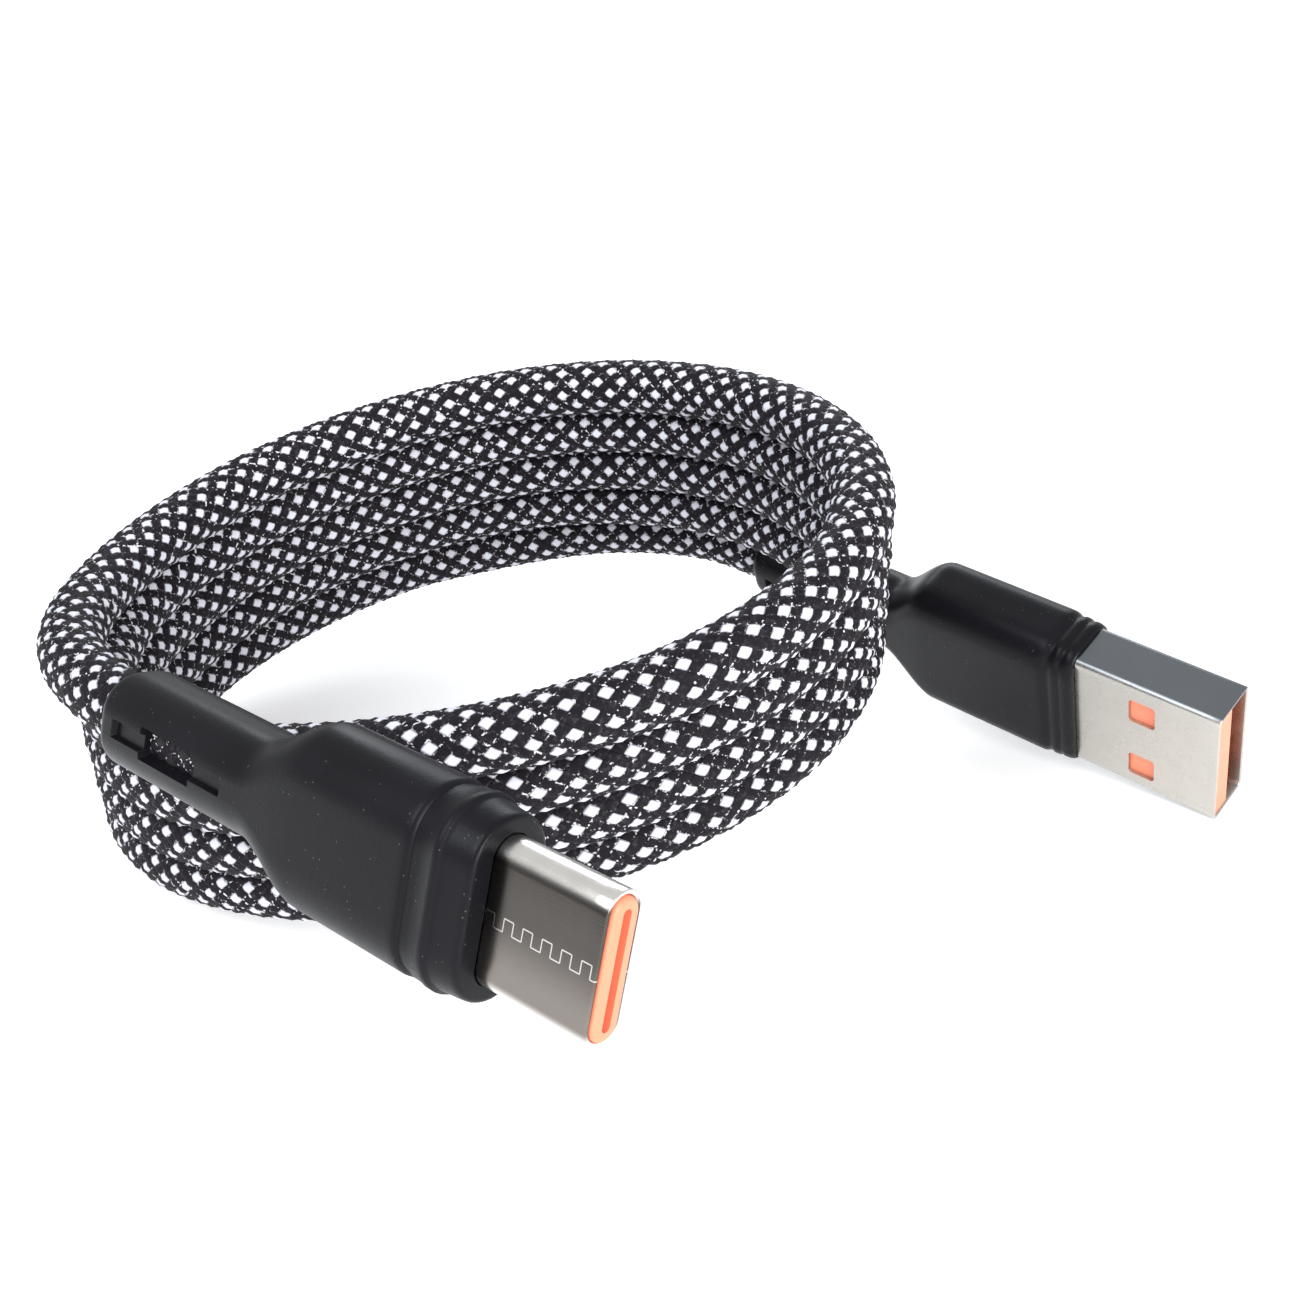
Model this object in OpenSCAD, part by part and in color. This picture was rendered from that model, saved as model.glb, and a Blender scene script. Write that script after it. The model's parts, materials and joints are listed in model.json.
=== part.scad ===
// Braided charging cable, wound into a band of stacked turns, with a USB-A and a USB-C plug.
// Each plug is drawn in its own frame: X points out of the shell's mouth, which is at x = 0,
// Y runs through the plug's thickness and Z along its width. It is then placed on its cord's end.

/* [Cord] */
// Outside diameter of the braided cord
cord_d = 4.5; // [3.6:0.1:5.4]
// Mean radius of the coil's top turn
coil_r = 26.6; // [24:0.2:30]
// Whole turns in the coil
coil_rings = 4; // [3:1:5]
// Growth of the coil's radius from each turn to the next
coil_flare = 0.33; // [0:0.01:0.5]
// Slope of the coil, which is propped up on the USB-A plug
coil_tilt = 12.3; // [6:0.1:16]
// Distance that each turn lies behind the one above it
turn_shift = 1.93; // [0:0.01:2.5]

/* [USB-A plug] */
// Width of the shell
a_shell_w = 12; // [11.9:0.05:12.1]
// Thickness of the shell
a_shell_t = 4.5; // [4.4:0.05:4.6]
// Length of the shell that stands out of the grip
a_exposed = 12; // [11.75:0.05:15]
// Length of the shell inside the grip
a_shell_seat = 6; // [5:0.1:8]
// Thickness of the contact carrier's tongue
a_tongue_t = 1.84; // [1.7:0.02:1.95]
// Wall of the grip beside the shell's narrow sides
a_grip_wall_w = 0.7; // [0.7:0.05:2]
// Wall of the grip over the shell's wide faces
a_grip_wall_t = 1.05; // [0.8:0.05:2]
// Length of the grip, without its shoulder
a_grip_l = 14.6; // [13:0.1:20]

/* [USB-C plug] */
// Width of the shell
c_shell_w = 8.34; // [8.25:0.01:8.4]
// Thickness of the shell
c_shell_t = 2.56; // [2.5:0.01:2.6]
// Length of the shell that stands out of the grip
c_exposed = 7.6; // [6.6:0.05:8]
// Length of the shell inside the grip
c_shell_seat = 4; // [3:0.1:6]
// Wall of the grip beside the shell's narrow sides
c_grip_wall_w = 1.45; // [1.2:0.01:2.5]
// Wall of the grip over the shell's wide faces
c_grip_wall_t = 1.84; // [1.6:0.01:3]
// Length of the grip, without its shoulder
c_grip_l = 14.4; // [13:0.1:20]

/* [Both plugs] */
// Sheet thickness of the shells
shell_wall = 0.3; // [0.2:0.02:0.35]
// Height of the four latch windows in the USB-A shell
window_w = 2.5; // [2.2:0.1:2.6]
// Length of the latch windows
window_l = 2.2; // [2:0.1:2.6]
// Length of the rounded shoulder between a grip and its boot
shoulder_l = 4; // [2:0.5:5]
// Length of the boots
boot_l = 14.5; // [13:0.5:20]
// Width of the boots
boot_w = 6.2; // [6:0.1:7.4]
// Thickness of the boots
boot_t = 6; // [5.8:0.1:6.8]
// Radius of the round corners of the USB-A grip
a_grip_r = 2.3; // [1:0.1:3]
// Radius of the round ends of the USB-C grip
c_grip_r = 3.1; // [1.6:0.1:3.1]
// Radius of the round corners of both boots
boot_r = 2.5; // [1.6:0.1:2.7]
// Diameter of one insulated conductor
wire_d = 0.9; // [0.6:0.05:1]
// Thickness of the circuit boards
board_t = 0.6; // [0.4:0.05:0.7]
// Gap left round every piece that is seated in another
seat_gap = 0.02; // [0.01:0.01:0.03]

/* [Hidden] */
$fn = 48;
tiny = 0.01;

// The origin is the middle of the two plugs' footprint, seen from the coil's centre.
origin = [18.65, -10.05, 0];

// The coil leans: its tilt rises towards this bearing, and each turn lies further back.
tilt_bearing = 31;
bottom_turn_z = 7.98;
turn_squash = 0.02;
turn_pitch = cord_d - turn_squash;
top_turn_z = bottom_turn_z + coil_rings * turn_pitch;
last_ring_drop = 0.05;
half_turn_drop = 0.4;
half_turn_bearing = -36;
// The bottom ring is open between these bearings, where the cord has left it for its plug.
lead_gap = [18, 108];
ring_skin = 0.4;
boot_room = 0.4;
floor_flat = 0.3;
reach = 4 * coil_r;
oval = 0.068;
oval_bearing = -17;
outline_steps = 48;

// Routes of the two free stretches of cord, from the coil to the rear end of each boot, laid for
// one coil radius and one height of the top turn. They and the plugs move with the coil's size.
route_coil_r = 26.6;
route_top_z = 25.9;
growth = coil_r - route_coil_r;
top_rise = top_turn_z - route_top_z;
function moved(p, rise) = let (b = atan2(p[1], p[0]))
    p + growth * [cos(b), sin(b), tan(coil_tilt) * cos(b - tilt_bearing)] + [0, 0, rise];
lead_a_route = [[-9.5, 34.5, 8.5], [-3.5, 35.3, 9.6], [2.5, 35.3, 10.6], [8.5, 34.6, 11.4],
    [14.2, 32.7, 11.9], [19.4, 29.9, 12], [24, 26.3, 11.35]];
lead_c_route = [[-22.4, 16.6, 22.6], [-25.7, 11.3, 21.7], [-27.8, 5.8, 21], [-28.8, 0.2, 20.6],
    [-28.6, -5.4, 20.5], [-27, -10.8, 20.6], [-23.9, -15.9, 20.8], [-19.8, -20.3, 20.8]];
lead_a_points = [for (p = lead_a_route) moved(p, 0)];
lead_c_points = [for (p = lead_c_route) moved(p, top_rise)];
a_rear = lead_a_points[len(lead_a_points) - 1];
a_turn = [22.8, 6.5, -43.2];
c_rear = lead_c_points[len(lead_c_points) - 1];
c_turn = [-17.2, 1.3, -41.6];
lead_sides = 10;

cord_r = cord_d / 2;
a_grip_w = a_shell_w + 2 * a_grip_wall_w;
a_grip_t = a_shell_t + 2 * a_grip_wall_t;
c_grip_w = c_shell_w + 2 * c_grip_wall_w;
c_grip_t = c_shell_t + 2 * c_grip_wall_t;
a_total = a_exposed + a_grip_l + shoulder_l + boot_l;
c_total = c_exposed + c_grip_l + shoulder_l + boot_l;
a_shell_l = a_exposed + a_shell_seat;
c_shell_l = c_exposed + c_shell_seat;

// Conductors: stripped and straight off the board, then insulated and in to a bundle at these
// bearings round its middle
wire_bundle_r = 0.95;
wire_bend_l = 1.2;
wire_bearings = [-45, -135, 135, 45];
wire_end_gap = 0.4;
stripped_d = 0.5;
bead_r = 0.45;
bead_l = 1;
tail_l = 1;
board_gap = 0.2;

// Where each cord ends inside its grip, its crimp and the end of the inner moulding before it
cord_seat = 1.5;
crimp_x = 0.6;
crimp_l = 3.6;
crimp_wall = 0.28;
mould_end_gap = 0.3;
mould_lip_gap = 0.2;

// The grips' front lips
lip = 0.35;
lip_l = 2.2;

// Inside the USB-A plug
a_corner_r = 0.6;
a_window_x = 5.16;
a_window_z = 3.2;
a_contact_z = [-3.5, -1, 1, 3.5];
a_contact_front = [1.5, 2.5, 2.5, 1.5];
a_tongue_x = 0.15;
a_contact_w = 1;
contact_t = 0.25;
groove_d = 0.15;
a_base_x = 9.8;
a_tongue_top = -a_shell_t / 2 + shell_wall + seat_gap + a_tongue_t;
a_contact_y = a_tongue_top - groove_d;
a_base_end = a_shell_l - 2.2;
a_tail_end = a_shell_l + tail_l;
a_board_w = a_shell_w - 2 * shell_wall - 0.8;
a_wire_x = a_tail_end + bead_l;
a_wire_y = a_contact_y + wire_d / 2;
a_board_x = [a_base_end + board_gap, a_wire_x + wire_bend_l];
// Length, thickness and width of the resistor, its distance from the board's end and its place
a_resistor = [1.6, 0.45, 0.8];
a_resistor_x = 1.8;
a_resistor_z = 2;
a_cord_x = a_exposed + a_grip_l - cord_seat;
a_mould_x = a_exposed + lip_l + mould_lip_gap;
a_mould_skin = 0.3;
a_mould_r = 0.95;

// Inside the USB-C plug
c_contact_z = [-2.75, -1.25, -0.25, 0.25, 1.25, 2.75];
c_contact_w = 0.22;
c_contact_x = 1.2;
c_contact_proud = 0.06;
c_slot_t = 0.9;
c_slot_w = 6.9;
c_slot_l = 5.9;
c_insulator_l = c_shell_l - 1.4;
c_insulator_x = 0.05;
c_contact_t = 0.15;
c_contact_y = c_slot_t / 2 + c_contact_t / 2 - c_contact_proud;
c_tail_end = c_shell_l + tail_l;
c_board_w = 6.6;
c_arm_x = 1.4;
c_arm_z = 3.1;
c_arm_w = 0.3;
c_arm_t = 0.5;
c_plate_x = c_slot_l + 0.1;
c_plate_t = 0.2;
c_latch_end = c_insulator_l - 0.3;
c_bead_x = c_tail_end + 0.1;
c_bead_y = board_t / 2 + seat_gap;
c_wire_x = c_tail_end + bead_l;
c_wire_y = c_bead_y + wire_d / 2;
c_wire_z = [-2.4, -0.8, 0.8, 2.4];
c_board_x = [c_insulator_l + board_gap, c_wire_x + wire_bend_l];
c_resistor = [1, 0.35, 0.5];
c_resistor_x = 0.7;
c_resistor_z = -1;
c_cord_x = c_exposed + c_grip_l - cord_seat;
c_mould_x = c_exposed + lip_l + mould_lip_gap;
c_mould_skin = 0.6;
c_mould_r = 1.6;

// Boots: a shallow slot along each wide side, with an opening to the cord in its middle
slot_l = 11;
slot_w = 1;
slot_depth = 0.35;
slot_window_l = 5;
slot_window_w = 1.6;

rubber = [0.05, 0.05, 0.055];
steel = [0.72, 0.71, 0.69];
orange = [0.93, 0.42, 0.24];
gold = [0.85, 0.68, 0.3];
green = [0.08, 0.3, 0.16];
wire_colours = ["red", "white", "green", "black"];

// ---- Places ----

module in_row() translate(-origin) children();
module at_usb_a() in_row() translate(a_rear) rotate(a_turn) translate([a_total, 0, 0]) children();
module at_usb_c() in_row() translate(c_rear) rotate(c_turn) translate([c_total, 0, 0]) children();
// Stands an outline drawn in Y and Z up along X, from x = -back to x = -front.
module along_x(front, back) translate([-back, 0, 0]) rotate([90, 0, 90])
    linear_extrude(back - front) children();
module x_rod(front, back, r, y = 0, z = 0) translate([-back, y, z]) rotate([0, 90, 0])
    cylinder(h = back - front, r = r);
module x_box(front, back, t, w, y = 0, z = 0) translate([-(front + back) / 2, y, z])
    cube([back - front, t, w], center = true);

// ---- Shared shapes ----

// Outline with round corners, t across and w high
module round_box(t, w, r) {
    square([t, w - 2 * r], center = true);
    square([t - 2 * r, w], center = true);
    for (y = [-1, 1], z = [-1, 1]) translate([y * (t / 2 - r), z * (w / 2 - r)]) circle(r);
}

// Outline with full round ends, t across and w high
module stadium(t, w) {
    square([t, w - t], center = true);
    for (z = [-1, 1]) translate([0, z * (w - t) / 2]) circle(t / 2);
}

function ring_point(r, bearing) = r * (1 + oval * cos(2 * (bearing - oval_bearing)))
    * [cos(bearing), sin(bearing)];
function ring_outline(r) = [for (i = [0:outline_steps - 1]) ring_point(r, i * 360 / outline_steps)];

// A wedge from one bearing to another, at most half a turn on, that reaches past the coil
module sector(from, to) polygon([[0, 0], for (b = [from, (from + to) / 2, to])
    reach * [cos(b), sin(b)]]);

// A flat ring in place of the cord that lies this many turns down from the coil's start
module turn_ring(turns) {
    back = turns * turn_shift;
    rise = back * sin(tilt_bearing) * tan(coil_tilt);
    r = coil_r + turns * coil_flare;
    translate([0, back, top_turn_z - turns * turn_pitch + rise])
        rotate(a = -coil_tilt, v = [-sin(tilt_bearing), cos(tilt_bearing), 0])
            linear_extrude(cord_d, center = true) difference() {
                polygon(ring_outline(r + cord_r - ring_skin));
                polygon(ring_outline(r - cord_r + ring_skin));
                children();
            }
}

function unit(v) = v / norm(v);
function tangent(p, i) = unit(p[min(i + 1, len(p) - 1)] - p[max(i - 1, 0)]);
function side_of(t) = unit(cross(t, [0, 0, 1]));
function tube_ring(p, i, r, t) = [for (k = [0:lead_sides - 1])
    let (a = k * 360 / lead_sides, s = side_of(t)) p[i] + r * (cos(a) * s + sin(a) * cross(s, t))];

// A tube swept along a route; its last ring faces along the plug that it runs into.
module tube(p, r, last) {
    n = len(p);
    m = lead_sides;
    points = [for (i = [0:n - 1]) each tube_ring(p, i, r, i == n - 1 ? last : tangent(p, i))];
    walls = [for (i = [0:n - 2], k = [0:m - 1])
        [i * m + k, i * m + (k + 1) % m, (i + 1) * m + (k + 1) % m, (i + 1) * m + k]];
    caps = [[for (k = [m - 1:-1:0]) k], [for (k = [0:m - 1]) (n - 1) * m + k]];
    polyhedron(points, concat(walls, caps), convexity = 4);
}
function heading(turn) = [cos(turn[1]) * cos(turn[2]), cos(turn[1]) * sin(turn[2]), -sin(turn[1])];

// One conductor: stripped off its solder bead, then bent in to the bundle at the cord's end
module wire(z, x_start, x_end, k, y, gap) {
    r = wire_d / 2 + gap;
    bend = [-(x_start + wire_bend_l), y, z];
    goal = [-x_end, wire_bundle_r * cos(wire_bearings[k]), wire_bundle_r * sin(wire_bearings[k])];
    run = goal - bend;
    x_rod(x_start, x_start + wire_bend_l, stripped_d / 2 + gap, y, z);
    translate(bend) rotate([0, acos(run[2] / norm(run)), atan2(run[1], run[0])])
        translate([0, 0, -r / 2]) cylinder(h = norm(run) - wire_end_gap + r / 2, r = r);
}

// Outside of a grip with its lip, shoulder and boot
module grip_outside(w, t, r, exposed, grip_l) {
    back = exposed + grip_l;
    along_x(exposed, exposed + lip_l) round_box(t - 2 * lip, w - 2 * lip, r - lip);
    along_x(exposed + lip_l, back) round_box(t, w, r);
    hull() {
        along_x(back - tiny, back) round_box(t, w, r);
        along_x(back + shoulder_l - tiny, back + shoulder_l) round_box(boot_t, boot_w, boot_r);
    }
    along_x(back + shoulder_l, back + shoulder_l + boot_l) round_box(boot_t, boot_w, boot_r);
}

// Slots along both wide sides of a boot, open to the cord in the middle
module boot_slots(total) {
    middle = total - boot_l / 2;
    for (side = [-1, 1]) {
        x_box(middle - slot_l / 2, middle + slot_l / 2, 2 * slot_depth, slot_w, side * boot_t / 2);
        x_box(middle - slot_window_l / 2, middle + slot_window_l / 2, boot_t / 2, slot_window_w,
            side * boot_t / 2);
    }
}

// ---- Cord ----

// The turns are level rings here, so they are cut back round the boots that lie along them. The
// lowest one is pressed flat where it stands.
module cord_coil() color(rubber) difference() {
    in_row() union() {
        for (i = [1:coil_rings - 1]) turn_ring(i + last_ring_drop);
        turn_ring(coil_rings + last_ring_drop) sector(lead_gap[0], lead_gap[1]);
        turn_ring(half_turn_drop) sector(half_turn_bearing - 180, half_turn_bearing);
    }
    translate([-reach, -reach, floor_flat - cord_d]) cube([2 * reach, 2 * reach, cord_d]);
    at_usb_a() x_rod(a_exposed, a_total + boot_room, boot_w / 2 + boot_room);
    at_usb_c() x_rod(c_exposed, c_total + boot_room, boot_w / 2 + boot_room);
}
module cord_lead_a() in_row() color(rubber) tube(lead_a_points, cord_r, heading(a_turn));
module cord_lead_c() in_row() color(rubber) tube(lead_c_points, cord_r, heading(c_turn));
module cord_end_a() at_usb_a() color(rubber) x_rod(a_cord_x, a_total, cord_r);
module cord_end_c() at_usb_c() color(rubber) x_rod(c_cord_x, c_total, cord_r);

// ---- USB-A plug ----

module usb_a_shell() at_usb_a() color(steel) difference() {
    along_x(0, a_shell_l) round_box(a_shell_t, a_shell_w, a_corner_r);
    along_x(-1, a_shell_l + 1) round_box(a_shell_t - 2 * shell_wall, a_shell_w - 2 * shell_wall,
        a_corner_r - shell_wall);
    for (z = [-1, 1]) x_box(a_window_x, a_window_x + window_l, a_shell_t + 1, window_w, 0,
        z * a_window_z);
}

// The contacts' outline, used for the blades and, with a gap, for the channels they lie in
module usb_a_blades(gap) for (i = [0:3])
    x_box(a_contact_front[i] - gap, a_tail_end + gap, contact_t + 2 * gap, a_contact_w + 2 * gap,
        a_contact_y + contact_t / 2, a_contact_z[i]);

module usb_a_insulator() at_usb_a() color(orange) difference() {
    inner_t = a_shell_t - 2 * shell_wall - 2 * seat_gap;
    inner_w = a_shell_w - 2 * shell_wall - 2 * seat_gap;
    union() {
        intersection() {
            along_x(a_tongue_x, a_base_x + 1) round_box(inner_t, inner_w, a_corner_r - shell_wall);
            x_box(0, a_base_x + 2, a_tongue_t, inner_w + 1, -inner_t / 2 + a_tongue_t / 2);
        }
        along_x(a_base_x, a_base_end) round_box(inner_t, inner_w, a_corner_r - shell_wall);
    }
    usb_a_blades(seat_gap);
}
module usb_a_contacts() at_usb_a() color(gold) usb_a_blades(0);

module usb_a_board_outline(gap) x_box(a_board_x[0] - gap, a_board_x[1] + gap,
    board_t + 2 * gap, a_board_w + 2 * gap, a_contact_y - seat_gap - board_t / 2);
module usb_a_circuit_board() at_usb_a() color(green) usb_a_board_outline(0);

// A resistor's outline under a board whose end is board_end and whose underside is under_y
module resistor_outline(size, board_end, from_end, under_y, z, gap) {
    back = board_end - from_end;
    x_box(back - size[0] - gap, back + gap, size[1] + 2 * gap, size[2] + 2 * gap,
        under_y - size[1] / 2, z);
}
module usb_a_resistor_outline(gap) resistor_outline(a_resistor, a_board_x[1], a_resistor_x,
    a_contact_y - 2 * seat_gap - board_t, a_resistor_z, gap);
module usb_a_resistor() at_usb_a() color("dimgray") usb_a_resistor_outline(0);

module usb_a_beads(gap) for (z = a_contact_z) intersection() {
    x_rod(a_tail_end + seat_gap - gap, a_wire_x - seat_gap + gap, bead_r + gap, a_contact_y, z);
    x_box(0, a_wire_x + 1, 2, 2, a_contact_y + 1 - gap, z);
}
module usb_a_solder_joints() at_usb_a() color("silver") usb_a_beads(0);

module usb_a_wires() at_usb_a() for (k = [0:3]) color(wire_colours[k])
    wire(a_contact_z[k], a_wire_x, a_cord_x, k, a_wire_y, 0);

module crimp(x) difference() {
    x_rod(x + crimp_x, x + crimp_x + crimp_l, cord_r + seat_gap + crimp_wall);
    x_rod(x, x + 2 * crimp_x + crimp_l, cord_r + seat_gap);
}
module usb_a_crimp() at_usb_a() color(steel) crimp(a_cord_x);
module usb_c_crimp() at_usb_c() color(steel) crimp(c_cord_x);

module usb_a_mould_outline(gap) along_x(a_mould_x - gap, a_cord_x - mould_end_gap + gap)
    round_box(a_shell_t + 2 * (a_mould_skin + gap), a_shell_w + 2 * (a_mould_skin + gap),
        a_mould_r);
module usb_a_inner_mould() at_usb_a() color("whitesmoke") difference() {
    usb_a_mould_outline(0);
    along_x(0, a_shell_l + seat_gap) round_box(a_shell_t + 2 * seat_gap,
        a_shell_w + 2 * seat_gap, a_corner_r + seat_gap);
    usb_a_blades(seat_gap);
    usb_a_board_outline(seat_gap);
    usb_a_resistor_outline(seat_gap);
    usb_a_beads(seat_gap);
    for (k = [0:3]) wire(a_contact_z[k], a_wire_x, a_cord_x, k, a_wire_y, seat_gap);
}

// What a grip is hollow for behind its inner moulding: the cord, its crimp and the wires' ends
module grip_bore(cord_x, total) {
    x_rod(cord_x - 1, total + 1, cord_r + seat_gap);
    x_rod(cord_x - 1, cord_x + crimp_x + crimp_l + seat_gap, cord_r + crimp_wall + 2 * seat_gap);
}
module usb_a_grip() at_usb_a() color(rubber) difference() {
    grip_outside(a_grip_w, a_grip_t, a_grip_r, a_exposed, a_grip_l);
    along_x(0, a_shell_l) round_box(a_shell_t + 2 * seat_gap, a_shell_w + 2 * seat_gap,
        a_corner_r + seat_gap);
    usb_a_mould_outline(seat_gap);
    grip_bore(a_cord_x, a_total);
    boot_slots(a_total);
}

// ---- USB-C plug ----

module usb_c_shell() at_usb_c() color(steel) difference() {
    along_x(0, c_shell_l) stadium(c_shell_t, c_shell_w);
    along_x(-1, c_shell_l + 1) stadium(c_shell_t - 2 * shell_wall, c_shell_w - 2 * shell_wall);
}

// The blades of one row: side is 1 for the upper row and -1 for the lower one
module usb_c_blades(side, gap) for (z = c_contact_z)
    x_box(c_contact_x - gap, c_tail_end + gap, c_contact_t + 2 * gap, c_contact_w + 2 * gap,
        side * c_contact_y, z);
module usb_c_upper_contacts() at_usb_c() color(gold) usb_c_blades(1, 0);
module usb_c_lower_contacts() at_usb_c() color(gold) usb_c_blades(-1, 0);

// Mid plate with a sprung latch arm along each side of the slot
module usb_c_latch_outline(gap) {
    x_box(c_plate_x - gap, c_latch_end + gap, c_plate_t + 2 * gap, 2 * c_arm_z + 2 * gap);
    for (z = [-1, 1]) x_box(c_arm_x - gap, c_latch_end + gap, c_arm_t + 2 * gap,
        c_arm_w + 2 * gap, 0, z * c_arm_z);
}
module usb_c_latch_frame() at_usb_c() color(steel) usb_c_latch_outline(0);

module usb_c_insulator() at_usb_c() color(orange) difference() {
    along_x(c_insulator_x, c_insulator_l) stadium(c_shell_t - 2 * shell_wall - 2 * seat_gap,
        c_shell_w - 2 * shell_wall - 2 * seat_gap);
    along_x(-1, c_slot_l) square([c_slot_t, c_slot_w], center = true);
    usb_c_latch_outline(seat_gap);
    for (side = [-1, 1]) usb_c_blades(side, seat_gap);
}

module usb_c_board_outline(gap) x_box(c_board_x[0] - gap, c_board_x[1] + gap,
    board_t + 2 * gap, c_board_w + 2 * gap);
module usb_c_circuit_board() at_usb_c() color(green) usb_c_board_outline(0);
module usb_c_resistor_outline(gap) resistor_outline(c_resistor, c_board_x[1], c_resistor_x,
    -board_t / 2 - seat_gap, c_resistor_z, gap);
module usb_c_resistor() at_usb_c() color("dimgray") usb_c_resistor_outline(0);

module usb_c_beads(gap) for (z = c_wire_z) intersection() {
    x_rod(c_bead_x - gap, c_wire_x - seat_gap + gap, bead_r + gap, c_bead_y, z);
    x_box(0, c_wire_x + 1, 2, 2, c_bead_y + 1 - gap, z);
}
module usb_c_solder_joints() at_usb_c() color("silver") usb_c_beads(0);
module usb_c_wires() at_usb_c() for (k = [0:3]) color(wire_colours[k])
    wire(c_wire_z[k], c_wire_x, c_cord_x, k, c_wire_y, 0);

module usb_c_mould_outline(gap) along_x(c_mould_x - gap, c_cord_x - mould_end_gap + gap)
    round_box(c_shell_t + 2 * (c_mould_skin + gap), c_shell_w + 2 * (c_mould_skin + gap),
        c_mould_r);
module usb_c_inner_mould() at_usb_c() color("whitesmoke") difference() {
    usb_c_mould_outline(0);
    along_x(0, c_shell_l + seat_gap) stadium(c_shell_t + 2 * seat_gap, c_shell_w + 2 * seat_gap);
    for (side = [-1, 1]) usb_c_blades(side, seat_gap);
    usb_c_board_outline(seat_gap);
    usb_c_resistor_outline(seat_gap);
    usb_c_beads(seat_gap);
    for (k = [0:3]) wire(c_wire_z[k], c_wire_x, c_cord_x, k, c_wire_y, seat_gap);
}
module usb_c_grip() at_usb_c() color(rubber) difference() {
    grip_outside(c_grip_w, c_grip_t, c_grip_r, c_exposed, c_grip_l);
    along_x(0, c_shell_l) stadium(c_shell_t + 2 * seat_gap, c_shell_w + 2 * seat_gap);
    usb_c_mould_outline(seat_gap);
    grip_bore(c_cord_x, c_total);
    boot_slots(c_total);
}

cord_coil();
cord_lead_a();
cord_lead_c();
cord_end_a();
cord_end_c();
usb_a_shell();
usb_a_insulator();
usb_a_contacts();
usb_a_circuit_board();
usb_a_resistor();
usb_a_solder_joints();
usb_a_wires();
usb_a_crimp();
usb_a_inner_mould();
usb_a_grip();
usb_c_shell();
usb_c_insulator();
usb_c_upper_contacts();
usb_c_lower_contacts();
usb_c_latch_frame();
usb_c_circuit_board();
usb_c_resistor();
usb_c_solder_joints();
usb_c_wires();
usb_c_crimp();
usb_c_inner_mould();
usb_c_grip();
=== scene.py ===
"""A braided charging cable: a cord wound into a band of turns, with a plug on each end."""
import json
import math

import bmesh
import bpy
from mathutils import Euler, Matrix, Vector

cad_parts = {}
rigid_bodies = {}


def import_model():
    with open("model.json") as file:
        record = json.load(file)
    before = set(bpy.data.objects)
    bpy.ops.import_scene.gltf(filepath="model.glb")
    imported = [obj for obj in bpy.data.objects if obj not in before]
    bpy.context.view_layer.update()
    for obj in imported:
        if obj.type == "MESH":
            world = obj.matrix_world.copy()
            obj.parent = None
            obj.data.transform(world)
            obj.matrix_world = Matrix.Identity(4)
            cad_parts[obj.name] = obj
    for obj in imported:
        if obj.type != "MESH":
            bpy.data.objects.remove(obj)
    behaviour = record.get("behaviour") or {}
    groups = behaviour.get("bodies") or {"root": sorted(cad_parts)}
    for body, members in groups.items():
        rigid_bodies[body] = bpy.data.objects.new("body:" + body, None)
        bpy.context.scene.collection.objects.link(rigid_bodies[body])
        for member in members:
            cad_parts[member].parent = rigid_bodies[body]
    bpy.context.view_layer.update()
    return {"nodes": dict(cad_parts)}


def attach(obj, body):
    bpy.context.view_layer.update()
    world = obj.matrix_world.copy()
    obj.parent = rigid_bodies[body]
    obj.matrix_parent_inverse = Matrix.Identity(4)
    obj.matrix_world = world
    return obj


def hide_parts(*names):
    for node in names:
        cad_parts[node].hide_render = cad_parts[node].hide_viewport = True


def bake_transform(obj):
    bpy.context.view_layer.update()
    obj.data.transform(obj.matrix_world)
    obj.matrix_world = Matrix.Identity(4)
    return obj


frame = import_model()

# ---- Sizes, in millimetres and degrees ----

MM = 0.001

# The shared frame's origin, in the frame that these sizes are given in
ROW_ORIGIN = Vector((18.65, -10.05, 0.0))

# The wound cord: a leaning spiral that widens downwards and is slightly oval
CORD_D = 4.5
COIL_R = 26.6
COIL_FLARE = 0.33
TURN_SHIFT = (-0.178, 1.93)
TOP_Z = 25.9
TURN_PITCH = 4.48
TILT_X = 0.188
TILT_Y = 0.112
COIL_BEARING = 216
FIRST_TURN = 0.2
LAST_TURN = 4.3
OVAL, OVAL_BEARING = 0.068, 34
THREE_SIDED, THREE_SIDED_BEARING = 0.019, 63
STEPS_A_TURN = 40
ROUTE_STEP = 0.25

# The braid: its yarns, the distance between two rings of points, and the height of its yarns
YARNS_EACH_WAY = 14
BRAID_STEP = 0.3
BRAID_RELIEF = 0.09

# The free stretches: from the coil's lowest turn to one plug, from the other plug to its highest
LEAD_A = [(-3.5, 35.3, 9.6), (2.5, 35.3, 10.6), (8.5, 34.6, 11.4), (14.2, 32.7, 11.9),
          (19.4, 29.9, 12)]
LEAD_C = [(-23.9, -15.9, 20.8), (-27, -10.8, 20.6), (-28.6, -5.4, 20.5), (-28.8, 0.2, 20.6),
          (-27.8, 5.8, 21), (-25.7, 11.3, 21.7)]

# The bare metal shells; each X is measured from the plug's mouth
SHELL_WALL = 0.3
SHELL_LIP = 0.1
SHELL_STEPS = 12
A_SHELL_R = 0.6
A_SHELL_MARKS = (2.0, 4.0)
LATCH_WINDOW_X, LATCH_WINDOW_Z = -6.26, 3.2
LATCH_WINDOW_L, LATCH_WINDOW_W, LATCH_WINDOW_R = 2.2, 2.5, 0.35

# The orange block in the narrow shell, and its slot
C_MOUTH_T, C_MOUTH_W, C_MOUTH_R = 1.92, 7.7, 0.28
C_MOUTH_FRONT, C_MOUTH_BACK = 0.22, 6.5
C_SLOT_T, C_SLOT_W, C_SLOT_L = 0.6, 6.5, 5.5
CUTTER_PAST = 2.0

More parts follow.
